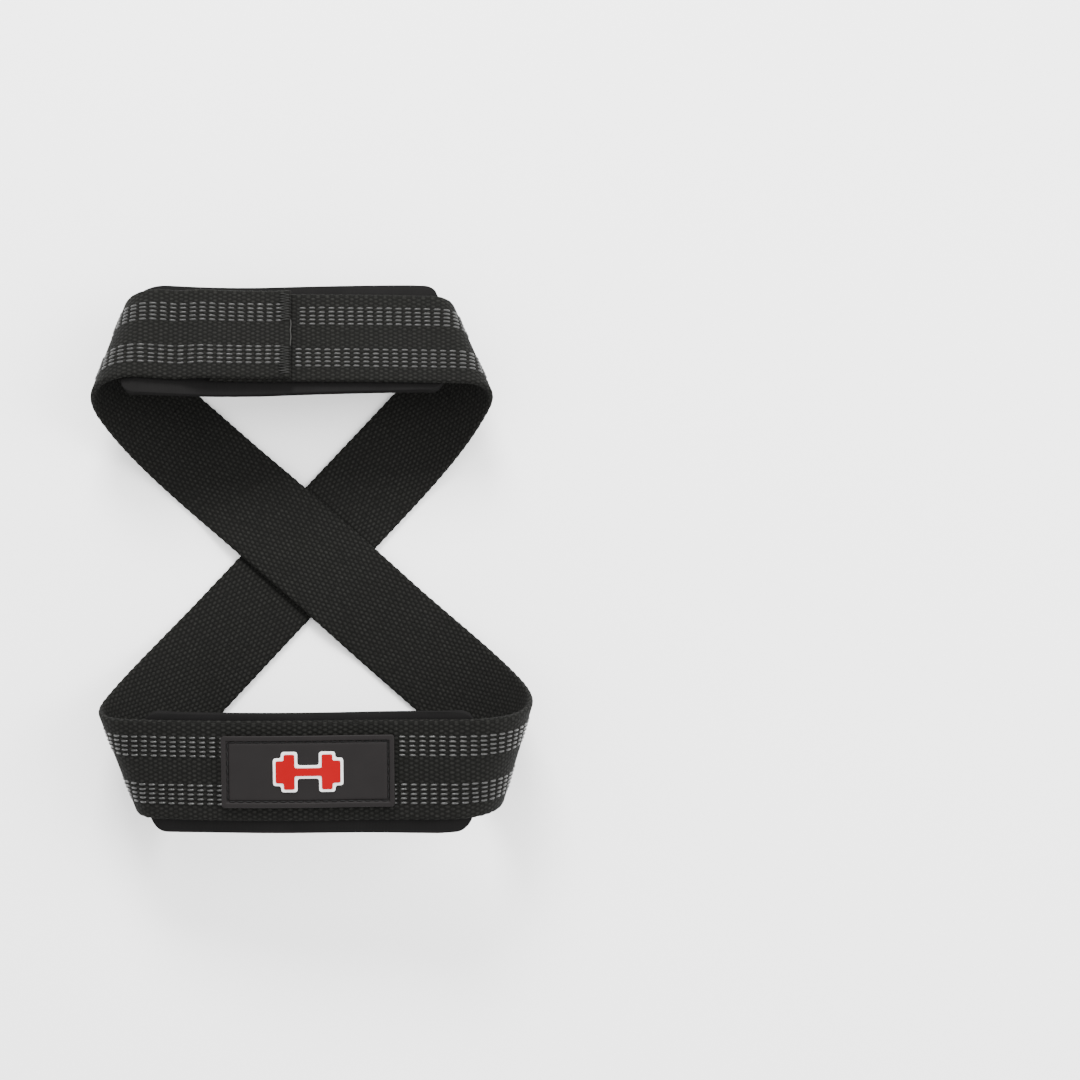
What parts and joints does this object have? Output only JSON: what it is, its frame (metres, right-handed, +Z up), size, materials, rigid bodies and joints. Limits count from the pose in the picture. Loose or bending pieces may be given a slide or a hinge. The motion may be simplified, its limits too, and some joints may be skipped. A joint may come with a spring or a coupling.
{
  "type": "figure-eight lifting strap",
  "caption": "Figure-eight weightlifting strap of black cotton webbing laid down as an eight, with padded wrist bands and a moulded rubber patch.",
  "frame": {"origin": "on the surface that the strap lies on, below the middle of the crossing, on the flat underside of the lower strand", "axes": "+X to the right and +Y towards the loop with the lap seam, as seen from above; +Z up, away from the surface"},
  "size_m": [0.1722, 0.2202, 0.0586],
  "materials": {
    "webbing": "black cotton webbing, woven with rows of pale grip yarn on one face",
    "upper_pad": "black neoprene with a smooth fabric face",
    "lower_pad": "black neoprene with a smooth fabric face",
    "patch": "moulded dark grey soft rubber, satin",
    "emblem_border": "moulded white soft rubber, satin",
    "emblem_field": "moulded red soft rubber, satin"
  },
  "bodies": {
    "root": {"webbing": "webbing", "upper_pad": "upper_pad", "lower_pad": "lower_pad", "patch": "patch", "emblem_border": "emblem_border", "emblem_field": "emblem_field"}
  },
  "joints": []
}
